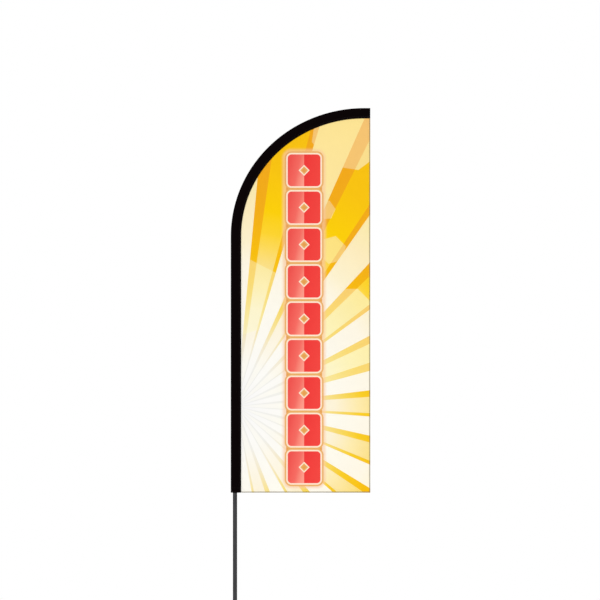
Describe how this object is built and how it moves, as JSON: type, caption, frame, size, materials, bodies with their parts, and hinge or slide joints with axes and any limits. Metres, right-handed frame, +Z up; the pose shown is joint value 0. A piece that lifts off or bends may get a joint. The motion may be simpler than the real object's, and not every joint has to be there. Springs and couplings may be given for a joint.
{
  "type": "feather flag with pole",
  "caption": "Feather flag: a tall printed banner with a black pole sleeve, on a sectional pole bent over at the top, turning on a bearing spindle in a ground stake.",
  "frame": {"origin": "on the pole's axis at ground level, in the plane of the ground plate's underside", "axes": "+Z up the pole, +X from the pole towards the flag's free edge, Y square to the flag's face"},
  "size_m": [0.6709, 0.11, 2.89],
  "materials": {
    "printed_polyester": "thin knitted flag polyester, sunburst print that shows through to the back",
    "black_polyester": "matt black sleeve cloth",
    "edge_tape": "narrow folded and stitched hem",
    "webbing": "woven nylon tape",
    "black_aluminium": "satin black anodised tube",
    "fibreglass": "pultruded black fibreglass rod",
    "bright_aluminium": "plain turned aluminium",
    "nylon": "moulded black nylon",
    "rubber": "moulded black rubber ring",
    "plated_steel": "bright zinc plate",
    "bearing_steel": "ground and polished bearing steel",
    "spring_steel": "plain spring steel",
    "cage_brass": "pressed brass"
  },
  "bodies": {
    "stake": {"stake_bar": "plated_steel", "ground_plate": "plated_steel", "stake_blade_1": "plated_steel", "stake_blade_2": "plated_steel", "stake_blade_3": "plated_steel", "stake_blade_4": "plated_steel", "bearing_cup": "plated_steel", "bearing_outer_race": "bearing_steel", "retaining_ring": "spring_steel"},
    "spindle": {"spindle": "plated_steel", "spindle_nut": "plated_steel", "bearing_inner_race": "bearing_steel", "dust_cap": "nylon", "spindle_ring_1": "rubber", "spindle_ring_2": "rubber"},
    "ball_cage": {"bearing_cage": "cage_brass", "bearing_ball_1": "bearing_steel", "bearing_ball_2": "bearing_steel", "bearing_ball_3": "bearing_steel", "bearing_ball_4": "bearing_steel", "bearing_ball_5": "bearing_steel", "bearing_ball_6": "bearing_steel", "bearing_ball_7": "bearing_steel", "bearing_ball_8": "bearing_steel"},
    "pole": {"pole_foot_bushing": "nylon", "pole_lower_tube": "black_aluminium", "pole_lower_collar": "nylon", "lower_stop_plug": "nylon", "pole_middle_tube": "black_aluminium", "pole_upper_collar": "nylon", "upper_stop_plug": "nylon", "pole_top_rod": "fibreglass", "rod_ferrule": "bright_aluminium", "rod_tip_cap": "nylon", "lock_spring": "spring_steel", "pole_sleeve": "black_polyester", "sleeve_mouth_band": "webbing", "tip_pocket": "webbing", "flag_panel": "printed_polyester", "side_hem": "edge_tape", "bottom_hem": "edge_tape", "strap_loop_side": "webbing", "strap_hook_side": "webbing"},
    "lock_button": {"lock_button": "bright_aluminium"}
  },
  "joints": [
    {"name": "flag_swivel", "type": "hinge", "parent": "stake", "child": "spindle", "pos_m": [0, 0, 0.022], "axis": [0, 0, 1], "continuous": true},
    {"name": "cage_roll", "type": "hinge", "parent": "stake", "child": "ball_cage", "pos_m": [0, 0, 0.022], "axis": [0, 0, 1], "continuous": true},
    {"name": "pole_lift", "type": "slide", "parent": "spindle", "child": "pole", "axis": [0, 0, 1], "range_m": [0, 0.2]},
    {"name": "lock_button_press", "type": "slide", "parent": "pole", "child": "lock_button", "axis": [-1, 0, 0], "range_m": [0, 0.003], "stiffness_N_per_m": 500, "springref_m": -0.004, "deforming": ["lock_spring"]}
  ],
  "couplings": [
    {"joint": "cage_roll", "follows": "flag_swivel", "ratio": 0.3828}
  ]
}
